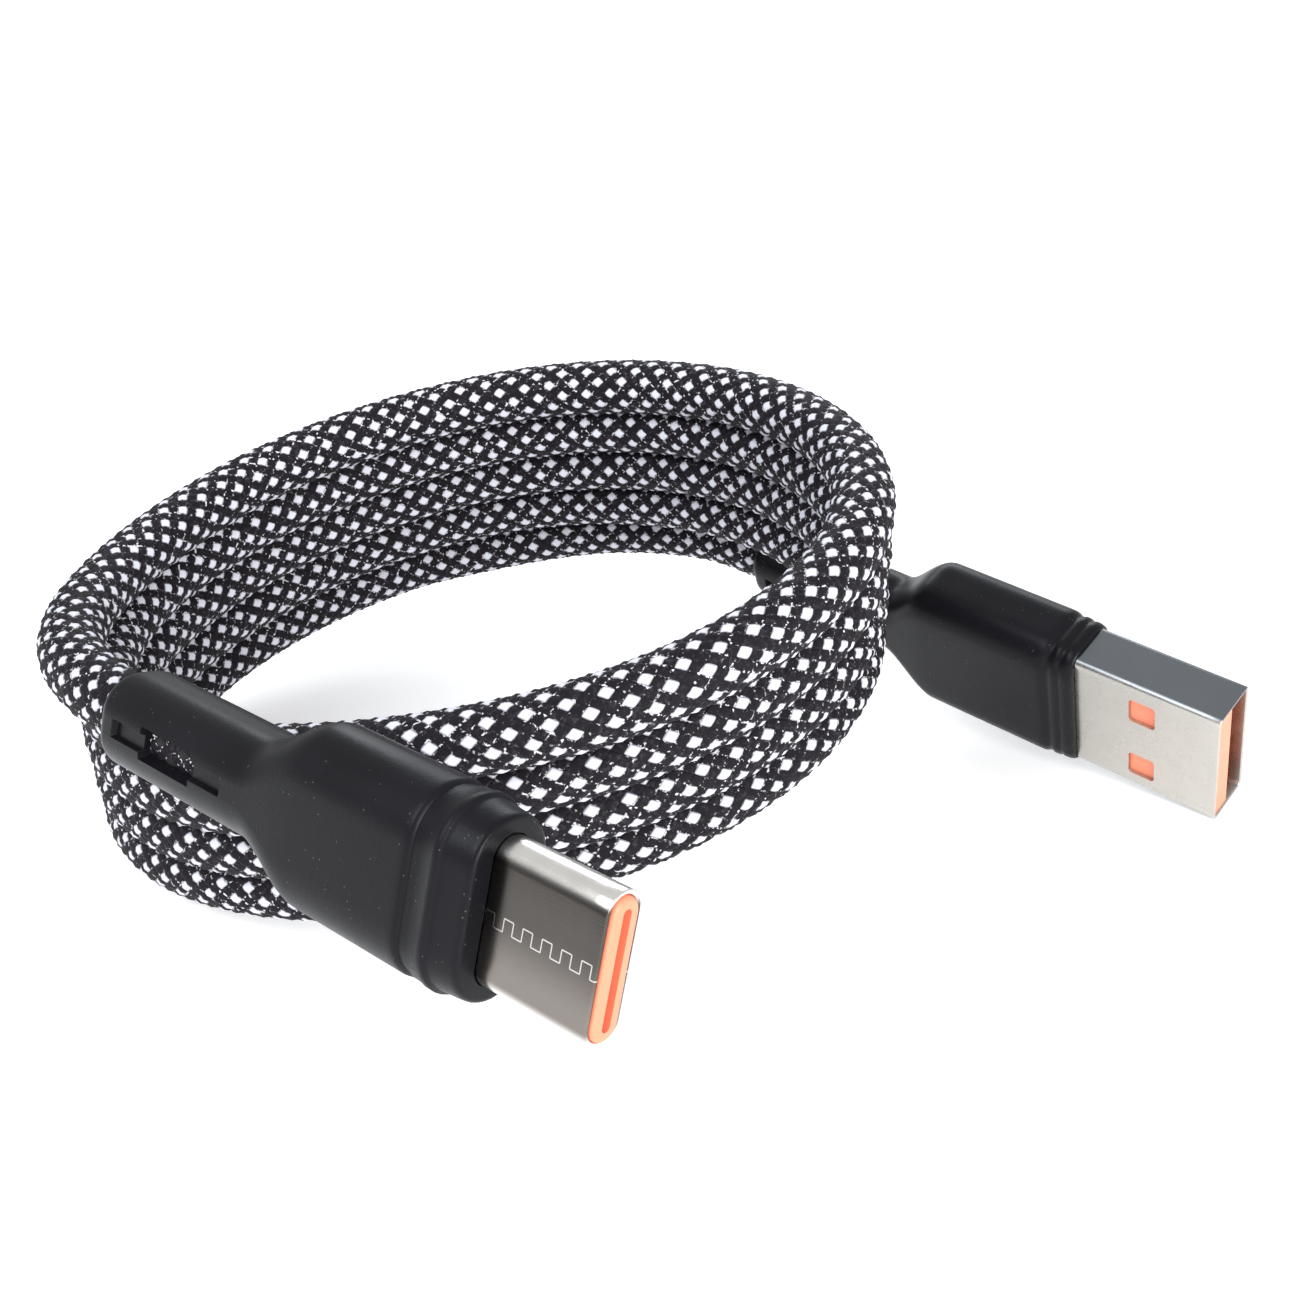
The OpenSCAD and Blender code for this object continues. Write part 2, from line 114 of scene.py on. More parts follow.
# The black mouldings: the boot, the seat round the shell, and the slot with its window
BOOT_W, BOOT_T, BOOT_L, BOOT_R = 6.2, 6.0, 14.5, 2.5
BOOT_RIM = 0.9
SHOULDER_L = 4.0
SEAT_GAP, SEAT_DEEP, SEAT_FRONT, A_SEAT_R = 0.12, 0.7, 0.02, 0.62
SLOT_HALF_L, SLOT_HALF_W, SLOT_DEEP = 5.5, 0.5, 0.38
WINDOW_HALF_L, WINDOW_HALF_W, WINDOW_DEEP = 2.5, 0.8, 1.35
WALL_SOFT = 0.12
GRIP_STEP = 0.4
CORD_IN_GRIP = 1.5


class Plug:
    """One plug's sizes, and its place: X out of the mouth, Y through its thickness, Z up its width."""

    def __init__(self, key, rear, turn, shell, exposed, seat, grip, grip_l):
        self.key = key
        self.body = f"usb_{key}_plug"
        self.shell_w, self.shell_t = shell
        self.exposed = exposed
        self.shell_l = exposed + seat
        self.grip_w, self.grip_t, self.grip_r = grip
        self.back = exposed + grip_l
        self.total = self.back + SHOULDER_L + BOOT_L
        self.cord_x = self.back - CORD_IN_GRIP
        angles = Euler([math.radians(a) for a in turn], "XYZ")
        self.place = (Matrix.Translation(Vector(rear) - ROW_ORIGIN)
                      @ angles.to_matrix().to_4x4()
                      @ Matrix.Translation((self.total, 0, 0)))

    def at(self, x, y=0.0, z=0.0):
        return self.place @ Vector((x, y, z))


PLUG_A = Plug("a", rear=(24, 26.3, 11.35), turn=(22.8, 6.5, -43.2), shell=(12.0, 4.5),
              exposed=12.0, seat=6.0, grip=(13.4, 6.6, 2.3), grip_l=14.6)
PLUG_C = Plug("c", rear=(-19.8, -20.3, 20.8), turn=(-17.2, 1.3, -41.6), shell=(8.34, 2.56),
              exposed=7.6, seat=4.0, grip=(11.24, 6.24, 3.1), grip_l=14.4)


# ---- Node trees ----

def node(tree, kind, inputs=None, **settings):
    """Adds a node; an input is a value or the output that feeds it."""
    made = tree.nodes.new(kind)
    for name, value in settings.items():
        setattr(made, name, value)
    for socket, value in (inputs or {}).items():
        if isinstance(value, bpy.types.NodeSocket):
            tree.links.new(value, made.inputs[socket])
        else:
            made.inputs[socket].default_value = value
    return made


def calc(tree, operation, a, b=0.0, c=0.0):
    """One Math node's result."""
    return node(tree, "ShaderNodeMath", {0: a, 1: b, 2: c}, operation=operation).outputs[0]


def ramp(tree, value, low, high, to_low=0.0, to_high=1.0):
    """A smooth step from to_low, where value is low, to to_high, where it is high."""
    made = node(tree, "ShaderNodeMapRange",
                {"Value": value, "From Min": low, "From Max": high, "To Min": to_low,
                 "To Max": to_high}, interpolation_type="SMOOTHSTEP")
    return made.outputs["Result"]


def blend_colours(tree, factor, first, second):
    made = node(tree, "ShaderNodeMix", {0: factor, 6: first, 7: second}, data_type="RGBA")
    return made.outputs[2]


def attribute(tree, name, output="Fac"):
    return node(tree, "ShaderNodeAttribute", attribute_name=name).outputs[output]


def finish_for(name):
    """A new material: its tree and its surface node."""
    material = bpy.data.materials.new(name)
    material.use_nodes = True
    tree = material.node_tree
    return material, tree, tree.nodes["Principled BSDF"]


def noise(tree, vector, scale, detail=3.0, roughness=0.5):
    made = node(tree, "ShaderNodeTexNoise",
                {"Vector": vector, "Scale": scale, "Detail": detail, "Roughness": roughness})
    return made.outputs["Fac"]


def bump(tree, surface, height, distance, strength=1.0):
    made = node(tree, "ShaderNodeBump",
                {"Height": height, "Distance": distance, "Strength": strength})
    tree.links.new(made.outputs["Normal"], surface.inputs["Normal"])


# ---- Finishes ----

def braid_finish(name, light_on_whites):
    """Black braid whose every other right-hand yarn is white, with painted glints and shade in the
    gaps.
    """
    material, tree, surface = finish_for(name)
    white_yarn = attribute(tree, "white_yarn")
    black_yarn = attribute(tree, "black_yarn")
    where = node(tree, "ShaderNodeTexCoord").outputs["Object"]

    # How far a point is from the middle of a white float, as a rounded square
    wander = noise(tree, where, 1500.0, 2.0)
    side = calc(tree, "MULTIPLY_ADD", wander, 0.12, 0.44)
    along = calc(tree, "POWER", calc(tree, "DIVIDE", white_yarn, side), 5.0)
    across = calc(tree, "POWER", calc(tree, "DIVIDE", black_yarn, side), 5.0)
    reach = calc(tree, "ADD", along, across)
    white = ramp(tree, reach, 0.8, 1.3, 1.0, 0.0)

    # Fibres run along whichever yarn is on top
    side_w = calc(tree, "SUBTRACT", white_yarn, 0.5)
    side_b = calc(tree, "SUBTRACT", black_yarn, 0.5)
    right_hand = calc(tree, "GREATER_THAN", calc(tree, "MULTIPLY", side_w, side_b), 0.0)
    over = node(tree, "ShaderNodeMix", {0: right_hand, 2: black_yarn, 3: white_yarn}).outputs[0]
    fibre = calc(tree, "SINE", calc(tree, "MULTIPLY", over, 44.0))
    fibre = calc(tree, "MULTIPLY_ADD", fibre, 0.5, 0.5)
    gap = calc(tree, "MINIMUM", calc(tree, "ABSOLUTE", side_w), calc(tree, "ABSOLUTE", side_b))
    gap_depth_and_shade = ramp(tree, gap, 0.0, 0.16, 0.35, 1.0)

    # Painted glints: short silver highlights painted in the gaps between black yarns, and a painted
    # fibre sheen on their crowns
    speck = ramp(tree, noise(tree, where, 4200.0, 2.0), 0.55, 0.62)
    patch = ramp(tree, noise(tree, where, 900.0, 2.0), 0.4, 0.55)
    seam = ramp(tree, gap, 0.05, 0.14, 1.0, 0.0)
    painted_glint = calc(tree, "MULTIPLY", calc(tree, "MULTIPLY", speck, patch), seam)
    sheen = calc(tree, "MULTIPLY", ramp(tree, noise(tree, where, 2600.0, 2.0), 0.5, 0.75), fibre)
    dark = blend_colours(tree, sheen, (0.007, 0.005, 0.008, 1), (0.05, 0.045, 0.055, 1))
    dark = blend_colours(tree, painted_glint, dark, (0.75, 0.74, 0.78, 1))
    low = [light_on_whites * c for c in (0.68, 0.68, 0.76)]
    high = [light_on_whites * c for c in (0.84, 0.84, 0.9)]
    pale = blend_colours(tree, calc(tree, "MULTIPLY", fibre, 0.5), (*low, 1), (*high, 1))
    # Painted shade: the gaps between the yarns are painted near black
    shaded = blend_colours(tree, gap_depth_and_shade, (0.004, 0.003, 0.005, 1), pale)
    colour = blend_colours(tree, white, dark, shaded)
    tree.links.new(colour, surface.inputs["Base Color"])
    surface.inputs["Roughness"].default_value = 0.65
    surface.inputs["Specular IOR Level"].default_value = 0.18
    height = calc(tree, "MULTIPLY_ADD", fibre, 0.2, gap_depth_and_shade)
    bump(tree, surface, height, 0.0001, 0.7)
    return material


def grip_finish():
    """Satin black moulding with a fine grain and a little pale dust."""
    material, tree, surface = finish_for("grip")
    where = node(tree, "ShaderNodeTexCoord").outputs["Object"]
    cloud = noise(tree, where, 160.0, 4.0)
    grain = noise(tree, where, 5200.0, 2.0)
    body = blend_colours(tree, cloud, (0.004, 0.004, 0.005, 1), (0.008, 0.008, 0.011, 1))
    cells = node(tree, "ShaderNodeTexVoronoi", {"Vector": where, "Scale": 2600.0})
    speck = ramp(tree, cells.outputs["Distance"], 0.05, 0.16, 1.0, 0.0)
    chosen = calc(tree, "GREATER_THAN", noise(tree, where, 900.0, 2.0), 0.58)
    dust = calc(tree, "MULTIPLY", speck, chosen)
    colour = blend_colours(tree, calc(tree, "MULTIPLY", dust, 0.25), body,
                           (0.3, 0.29, 0.28, 1))
    tree.links.new(colour, surface.inputs["Base Color"])
    tree.links.new(ramp(tree, cloud, 0.3, 0.7, 0.3, 0.4), surface.inputs["Roughness"])
    surface.inputs["Specular IOR Level"].default_value = 0.14
    bump(tree, surface, grain, 0.00002, 0.5)
    return material


def nickel_finish(name, colour, roughness):
    """Plated steel with faint smears and fine rolling lines along the shell."""
    material, tree, surface = finish_for(name)
    place = attribute(tree, "place", "Vector")
    smear = noise(tree, place, 0.5, 4.0)
    stretched = node(tree, "ShaderNodeMapping", {"Vector": place, "Scale": (0.6, 14.0, 14.0)})
    lines = noise(tree, stretched.outputs["Vector"], 1.0, 3.0)
    shade = [c * 0.86 for c in colour]
    tint = blend_colours(tree, smear, (*shade, 1), (*colour, 1))
    tree.links.new(tint, surface.inputs["Base Color"])
    surface.inputs["Metallic"].default_value = 1.0
    rough = calc(tree, "MULTIPLY_ADD", smear, 0.12, roughness)
    tree.links.new(rough, surface.inputs["Roughness"])
    bump(tree, surface, lines, 0.00002, 0.25)
    return material, tree, surface


def folded_nickel_finish():
    """The wide shell's plating, with painted shade, bluer and darker, on its narrow sides."""
    material, tree, surface = nickel_finish("nickel", (0.56, 0.54, 0.5), 0.22)
    parts = node(tree, "ShaderNodeSeparateXYZ", {0: attribute(tree, "place", "Vector")})
    height = calc(tree, "ABSOLUTE", parts.outputs["Z"])
    narrow = ramp(tree, height, 5.75, 5.95)
    face = surface.inputs["Base Color"].links[0].from_socket
    # Painted shade: the narrow sides are painted bluer and darker
    colour = blend_colours(tree, narrow, face, (0.2, 0.215, 0.23, 1))
    tree.links.new(colour, surface.inputs["Base Color"])
    return material


def seamed_nickel_finish():
    """The narrow shell's plating, with the locked teeth of its fold and a painted dark reflection
    along both wide sides.
    """
    material, tree, surface = nickel_finish("nickel_seamed", (0.9, 0.87, 0.82), 0.16)
    place = attribute(tree, "place", "Vector")
    parts = node(tree, "ShaderNodeSeparateXYZ", {0: place})
    x, z = parts.outputs["X"], parts.outputs["Z"]
    half_tooth = 0.66
    tooth_h = 0.36
    line_w = 0.035
    step = calc(tree, "PINGPONG", calc(tree, "MULTIPLY", x, 1.0 / half_tooth), 1.0)
    upper = calc(tree, "GREATER_THAN", step, 0.5)
    level = calc(tree, "MULTIPLY_ADD", upper, 2 * tooth_h, -tooth_h)
    off_level = calc(tree, "ABSOLUTE", calc(tree, "SUBTRACT", z, level))
    flat = calc(tree, "LESS_THAN", off_level, line_w)
    off_wall = calc(tree, "MULTIPLY", calc(tree, "ABSOLUTE", calc(tree, "SUBTRACT", step, 0.5)),
                    half_tooth)
    wall = calc(tree, "MULTIPLY", calc(tree, "LESS_THAN", off_wall, line_w),
                calc(tree, "LESS_THAN", calc(tree, "ABSOLUTE", z), tooth_h))
    seam = calc(tree, "MAXIMUM", flat, wall)
    # Painted reflection: the wide sides are painted darker than the round ones, most of all above the
    # seam
    bright = surface.inputs["Base Color"].links[0].from_socket
    face = blend_colours(tree, ramp(tree, z, -2.6, 0.9), (0.2, 0.18, 0.165, 1),
                         (0.085, 0.078, 0.072, 1))
    round_side = ramp(tree, calc(tree, "ABSOLUTE", z), 3.1, 3.9)
    colour = blend_colours(tree, round_side, face, bright)
    marked = blend_colours(tree, calc(tree, "MULTIPLY", seam, 0.6), colour,
                           (0.8, 0.78, 0.76, 1))
    tree.links.new(marked, surface.inputs["Base Color"])
    return material


def plastic_finish(name, first, second, roughness=0.42):
    material, tree, surface = finish_for(name)
    where = node(tree, "ShaderNodeTexCoord").outputs["Object"]
    cloud = noise(tree, where, 500.0, 3.0)
    colour = blend_colours(tree, cloud, (*first, 1), (*second, 1))
    tree.links.new(colour, surface.inputs["Base Color"])
    surface.inputs["Roughness"].default_value = roughness
    bump(tree, surface, noise(tree, where, 4000.0, 2.0), 0.00001, 0.4)
    return material


def metal_finish(name, colour, roughness):
    material, tree, surface = finish_for(name)
    where = node(tree, "ShaderNodeTexCoord").outputs["Object"]
    cloud = noise(tree, where, 900.0, 3.0)
    shade = [c * 0.8 for c in colour]
    tint = blend_colours(tree, cloud, (*shade, 1), (*colour, 1))
    tree.links.new(tint, surface.inputs["Base Color"])
    surface.inputs["Metallic"].default_value = 1.0
    surface.inputs["Roughness"].default_value = roughness
    return material


BRAID = braid_finish("braid", light_on_whites=1.0)
# The cord inside the boots: the same braid with its white yarns painted almost black, as painted shade
BRAID_PAINTED_SHADE = braid_finish("braid_painted_shade_in_boot", light_on_whites=0.03)
GRIP = grip_finish()
NICKEL = folded_nickel_finish()
NICKEL_SEAMED = seamed_nickel_finish()
ORANGE = plastic_finish("orange_insulator", (0.85, 0.23, 0.12), (0.9, 0.28, 0.16))
GOLD = metal_finish("gold_contact", (0.85, 0.6, 0.25), 0.25)
BOARD = plastic_finish("circuit_board", (0.02, 0.12, 0.05), (0.03, 0.17, 0.07), 0.3)
RESISTOR = plastic_finish("resistor", (0.02, 0.02, 0.02), (0.04, 0.04, 0.04), 0.5)
SOLDER = metal_finish("solder", (0.75, 0.76, 0.78), 0.3)
SPRING = metal_finish("spring_steel", (0.6, 0.6, 0.6), 0.35)
MOULD = plastic_finish("inner_moulding", (0.75, 0.74, 0.7), (0.82, 0.81, 0.77), 0.5)
WIRE = plastic_finish("wire_insulation", (0.5, 0.04, 0.03), (0.6, 0.06, 0.05), 0.4)


# ---- Meshes ----

def make_piece(name, points, faces, material, place, sharp=None):
    """A closed mesh piece from points in millimetres; place is its plug's place."""
    mesh = bpy.data.meshes.new(name)
    mesh.from_pydata([tuple((place @ Vector(p)) * MM) for p in points], [], faces)
    local = mesh.attributes.new("place", "FLOAT_VECTOR", "POINT")
    local.data.foreach_set("vector", [c for p in points for c in p])
    mesh.materials.append(material)
    made = bpy.data.objects.new(name, mesh)
    bpy.context.scene.collection.objects.link(made)
    shape = bmesh.new()
    shape.from_mesh(mesh)
    bmesh.ops.remove_doubles(shape, verts=shape.verts, dist=1e-7)
    bmesh.ops.dissolve_degenerate(shape, edges=shape.edges, dist=1e-7)
    bmesh.ops.recalc_face_normals(shape, faces=shape.faces)
    shape.to_mesh(mesh)
    shape.free()
    mesh.polygons.foreach_set("use_smooth", [True] * len(mesh.polygons))
    if sharp is not None:
        mesh.set_sharp_from_angle(angle=math.radians(sharp))
    return made


def skin(rings, closed=False):
    """Points and faces of a skin through rings of equal length, closed on itself or capped."""
    count = len(rings[0])
    points = [p for ring in rings for p in ring]
    faces = []
    spans = len(rings) if closed else len(rings) - 1
    for i in range(spans):
        j = (i + 1) % len(rings)
        for k in range(count):
            m = (k + 1) % count
            faces.append((i * count + k, i * count + m, j * count + m, j * count + k))
    if not closed:
        faces.append(tuple(reversed(range(count))))
        faces.append(tuple(range((len(rings) - 1) * count, len(rings) * count)))
    return points, faces



# The steps that stand in for the marks that a short flat has no room for
SLIVER = 0.0004


def spread(limit, marks):
    """Heights up the flat of a wide face: each mark kept, or squeezed in where the flat is short."""
    top = marks[-1]
    scale = min(1.0, limit / top)
    inner = [m * scale for m in marks]
    if limit > top:
        inner += [top + (limit - top) * share for share in (0.33, 0.67, 1.0)]
    else:
        inner += [limit + SLIVER * n for n in (1, 2, 3)]
    return inner


# Heights up a wide face where an outline has points, closest together at the slot's edges
SLOT_MARKS = [0.15, 0.3, 0.42, 0.47, 0.52, 0.57, 0.64, 0.71, 0.76, 0.81, 0.86, 0.95, 1.15]
CORNER_STEPS = 9


def outline(t, w, r, marks=SLOT_MARKS):
    """A box outline with round corners, as (y, z) points that start on the -Y face's middle."""
    flat_z = max(w / 2 - r, 0.05)
    flat_y = max(t / 2 - r, 0.02)
    up = spread(flat_z, marks)
    quarter = [(-t / 2, 0.0)] + [(-t / 2, z) for z in up]
    for n in range(1, CORNER_STEPS):
        a = math.radians(90 * n / CORNER_STEPS)
        quarter.append((-flat_y - r * math.cos(a), flat_z + r * math.sin(a)))
    quarter.append((-flat_y, w / 2))
    quarter.append((-flat_y * 0.5, w / 2))
    half = quarter + [(0.0, w / 2)] + [(-y, z) for y, z in reversed(quarter)]
    return half + [(y, -z) for y, z in reversed(half[1:-1])]


def stadium(t, w, steps=20):
    """An outline with full round ends, as (y, z) points."""
    flat = (w - t) / 2
    points = []
    for side in (1, -1):
        for n in range(steps + 1):
            a = math.radians(180 * n / steps)
            points.append((-side * t / 2 * math.cos(a), side * (flat + t / 2 * math.sin(a))))
        points += [(side * t / 2, side * flat * share) for share in (0.5, 0.0, -0.5)]
    return points


def at_x(points, x):
    return [(x, y, z) for y, z in points]


def ease(share):
    share = min(1.0, max(0.0, share))
    return share * share * (3 - 2 * share)


# ---- The cord's route ----

def coil_point(turns):
    """A point on the cord's middle, this many turns down from where the coil starts."""
    bearing = math.radians(COIL_BEARING - 360 * turns)
    oval = (1 + OVAL * math.cos(2 * bearing + math.radians(OVAL_BEARING))
            - THREE_SIDED * math.cos(3 * bearing - math.radians(THREE_SIDED_BEARING)))
    r = (COIL_R + COIL_FLARE * turns) * oval
    x = r * math.cos(bearing) + TURN_SHIFT[0] * turns
    y = r * math.sin(bearing) + TURN_SHIFT[1] * turns
    return Vector((x, y, TOP_Z - TURN_PITCH * turns + TILT_X * x + TILT_Y * y))


def smooth_route(points, step):
    """Points about a step apart on one smooth curve through the given ones."""
    route = []
    last = len(points) - 1
    for i in range(last):
        p0, p1, p2, p3 = (points[max(0, min(last, i + d))] for d in (-1, 0, 1, 2))
        parts = max(1, round((p2 - p1).length / step))
        for n in range(parts):
            t = n / parts
            route.append(0.5 * (2 * p1 + (p2 - p0) * t + (2 * p0 - 5 * p1 + 4 * p2 - p3) * t ** 2
                                + (3 * p1 - p0 - 3 * p2 + p3) * t ** 3))
    return route + [points[last]]


def cord_inside(plug):
    """Points on the cord's middle from its end in the grip to the end of the boot."""
    straight_in_grip, straight_in_boot = 8, 6
    return [plug.at(-x) for x in (plug.cord_x, plug.cord_x + straight_in_grip,
                                  plug.total - straight_in_boot, plug.total)]


def nearest(route, goal):
    return min(range(len(route)), key=lambda i: (route[i] - goal).length_squared)


coil_steps = round((LAST_TURN - FIRST_TURN) * STEPS_A_TURN)
coil_knots = [coil_point(FIRST_TURN + (LAST_TURN - FIRST_TURN) * n / coil_steps) - ROW_ORIGIN
              for n in range(coil_steps + 1)]
in_c = cord_inside(PLUG_C)
in_a = cord_inside(PLUG_A)[::-1]
knots = (in_c + [Vector(p) - ROW_ORIGIN for p in LEAD_C] + coil_knots
         + [Vector(p) - ROW_ORIGIN for p in LEAD_A] + in_a)
route = smooth_route(knots, ROUTE_STEP)
borders = [0, nearest(route, in_c[-1]), nearest(route, coil_knots[0]),
           nearest(route, coil_knots[-1]), nearest(route, in_a[0]), len(route) - 1]


def route_length(points):
    return sum((b - a).length for a, b in zip(points, points[1:]))


# ---- The braid ----

def braid_tree():
    """Sweeps a braided cord along a curve; each ring is twisted half a side past the last."""
    tree = bpy.data.node_groups.new("Braided cord", "GeometryNodeTree")
    sockets = (("Geometry", "NodeSocketGeometry"), ("Rings", "NodeSocketInt"),
               ("First ring", "NodeSocketInt"), ("Sides", "NodeSocketInt"),
               ("Radius", "NodeSocketFloat"), ("Relief", "NodeSocketFloat"),
               ("Material", "NodeSocketMaterial"))
    for name, kind in sockets:
        tree.interface.new_socket(name, in_out="INPUT", socket_type=kind)
    tree.interface.new_socket("Geometry", in_out="OUTPUT", socket_type="NodeSocketGeometry")
    given = tree.nodes.new("NodeGroupInput").outputs
    index = node(tree, "GeometryNodeInputIndex").outputs[0]
    position = node(tree, "GeometryNodeInputPosition").outputs[0]

    def keep(geometry, name, value, kind="FLOAT"):
        made = node(tree, "GeometryNodeStoreNamedAttribute",
                    {"Geometry": geometry, "Name": name, "Value": value}, data_type=kind)
        return made.outputs["Geometry"]

    def stored(name, kind="FLOAT"):
        made = node(tree, "GeometryNodeInputNamedAttribute", {"Name": name}, data_type=kind)
        return made.outputs["Attribute"]

    spine = node(tree, "GeometryNodeResampleCurve",
                 {"Curve": given["Geometry"], "Count": given["Rings"]}, mode="COUNT")
    spine = node(tree, "GeometryNodeSetCurveNormal", {"Curve": spine.outputs[0]}, mode="Z_UP")
    ring = calc(tree, "ADD", index, given["First ring"])
    half_step = calc(tree, "DIVIDE", math.pi, given["Sides"])
    spine = node(tree, "GeometryNodeSetCurveTilt",
                 {"Curve": spine.outputs[0], "Tilt": calc(tree, "MULTIPLY", ring, half_step)})
    spine = keep(spine.outputs[0], "ring", ring)
    spine = keep(spine, "middle", position, "FLOAT_VECTOR")
    profile = node(tree, "GeometryNodeCurvePrimitiveCircle",
                   {"Resolution": given["Sides"], "Radius": given["Radius"]}, mode="RADIUS")
    profile = keep(profile.outputs["Curve"], "side", index)
    tube = node(tree, "GeometryNodeCurveToMesh",
                {"Curve": spine, "Profile Curve": profile, "Fill Caps": True}).outputs["Mesh"]

    # Where a point lies across the yarns of either direction: 0 and 1 are middles, 0.5 is between
    both = calc(tree, "ADD", stored("ring"), stored("side"))
    tube = keep(tube, "white_yarn", calc(tree, "PINGPONG", calc(tree, "MULTIPLY", both, 0.5), 1.0))
    half_side = calc(tree, "MULTIPLY", stored("side"), 0.5)
    tube = keep(tube, "black_yarn", calc(tree, "PINGPONG", half_side, 1.0))
    crowns = calc(tree, "COSINE", calc(tree, "MULTIPLY", both, math.pi))
    cross = calc(tree, "COSINE", calc(tree, "MULTIPLY", stored("side"), math.pi))
    height = calc(tree, "MULTIPLY", calc(tree, "ADD", crowns, cross),
                  calc(tree, "MULTIPLY", given["Relief"], 0.5))
    outward = node(tree, "ShaderNodeVectorMath", {0: position, 1: stored("middle", "FLOAT_VECTOR")},
                   operation="SUBTRACT").outputs[0]
    outward = node(tree, "ShaderNodeVectorMath", {0: outward}, operation="NORMALIZE").outputs[0]
    offset = node(tree, "ShaderNodeVectorMath", {0: outward, "Scale": height}, operation="SCALE")
    tube = node(tree, "GeometryNodeSetPosition",
                {"Geometry": tube, "Offset": offset.outputs[0]}).outputs[0]
    for name in ("middle", "side", "ring"):
        tube = node(tree, "GeometryNodeRemoveAttribute",
                    {"Geometry": tube, "Name": name}).outputs["Geometry"]
    tube = node(tree, "GeometryNodeTriangulate", {"Mesh": tube},
                quad_method="SHORTEST_DIAGONAL").outputs[0]
    tube = node(tree, "GeometryNodeSetShadeSmooth", {"Geometry": tube}).outputs[0]
    tube = node(tree, "GeometryNodeRealizeInstances", {"Geometry": tube}).outputs[0]
    tube = node(tree, "GeometryNodeSetMaterial",
                {"Geometry": tube, "Material": given["Material"]}).outputs[0]
    node(tree, "NodeGroupOutput", {"Geometry": tube})
    return tree


def set_inputs(modifier, values):
    for item in modifier.node_group.interface.items_tree:
        if item.in_out == "INPUT" and item.name in values:
            modifier[item.identifier] = values[item.name]


def plain_mesh(source, name):
    """The finished mesh of an object whose modifier has run; the source is removed."""
    seen = bpy.context.evaluated_depsgraph_get()
    mesh = bpy.data.meshes.new_from_object(source.evaluated_get(seen))
    mesh.name = name
    bpy.data.objects.remove(source)
    made = bpy.data.objects.new(name, mesh)
    bpy.context.scene.collection.objects.link(made)
    return made


def braided_cord(tree, name, points, first_ring, material):
    """A braided piece of the cord and the number of the ring that the next piece starts on."""
    rings = max(2, round(route_length(points) / BRAID_STEP))
    line = bpy.data.curves.new(name + "_line", "CURVE")
    line.dimensions = "3D"
    spline = line.splines.new("POLY")
    spline.points.add(len(points) - 1)
    for knot, p in zip(spline.points, points):
        knot.co = (*(p * MM), 1.0)
    source = bpy.data.objects.new(name + "_line", line)
    bpy.context.scene.collection.objects.link(source)
    modifier = source.modifiers.new("Braid", "NODES")
    modifier.node_group = tree
    set_inputs(modifier, {"Rings": rings + 1, "First ring": first_ring,
                          "Sides": 2 * YARNS_EACH_WAY, "Radius": CORD_D / 2 * MM,
                          "Relief": BRAID_RELIEF * MM, "Material": material})
    return plain_mesh(source, name), first_ring + rings


braid = braid_tree()
cord_names = ("cord_end_c", "cord_lead_c", "cord_coil", "cord_lead_a", "cord_end_a")
cord_pieces = {}
next_ring = 0
for cord_name, start, stop in zip(cord_names, borders, borders[1:]):
    stretch = route[start:stop + 1]
    # The cord ends inside the boots take the braid with painted shade
    finish = BRAID_PAINTED_SHADE if "_end_" in cord_name else BRAID
    cord, next_ring = braided_cord(braid, cord_name + "_braid", stretch, next_ring, finish)
    cord_pieces[cord_name] = (cord, stretch)


# ---- Grips and boots ----

def slot_depth(plug, x, z):
    """How deep the boot's side is cut at this place: a shallow slot with a window to the cord."""
    middle = -(plug.total - BOOT_L / 2)
    along, up = abs(x - middle), abs(z)

    def within(half_l, half_w):
        return (ease((half_l - along) / WALL_SOFT + 0.5)
                * ease((half_w - up) / WALL_SOFT + 0.5))

    return max(SLOT_DEEP * within(SLOT_HALF_L, SLOT_HALF_W),
               WINDOW_DEEP * within(WINDOW_HALF_L, WINDOW_HALF_W))


def fine_steps(*edges):
    """Places just each side of every edge, for walls that are steep but rounded."""
    return [e + d for e in edges for d in (-0.12, -0.06, -0.02, 0.02, 0.06, 0.12)]


# Places between the walls of slot and window, from the boot's middle
PLAIN_STOPS = (-4.6, -3.6, -1.2, 0.0, 1.2, 3.6, 4.6)

# The hole for the cord in the boot's end, as (depth, radius)
CORD_HOLE = ((0.0, 2.5), (0.15, 2.36), (1.0, 2.3))


def boot_size(plug, x):
    """Thickness, width and corner radius of the outside, x millimetres from the mouth."""
    behind = -x - plug.back
    share = ease((behind + 0.8) / (SHOULDER_L + 1.2))
    t = plug.grip_t + (BOOT_T - plug.grip_t) * share
    w = plug.grip_w + (BOOT_W - plug.grip_w) * share
    return t, w, plug.grip_r + (BOOT_R - plug.grip_r) * share


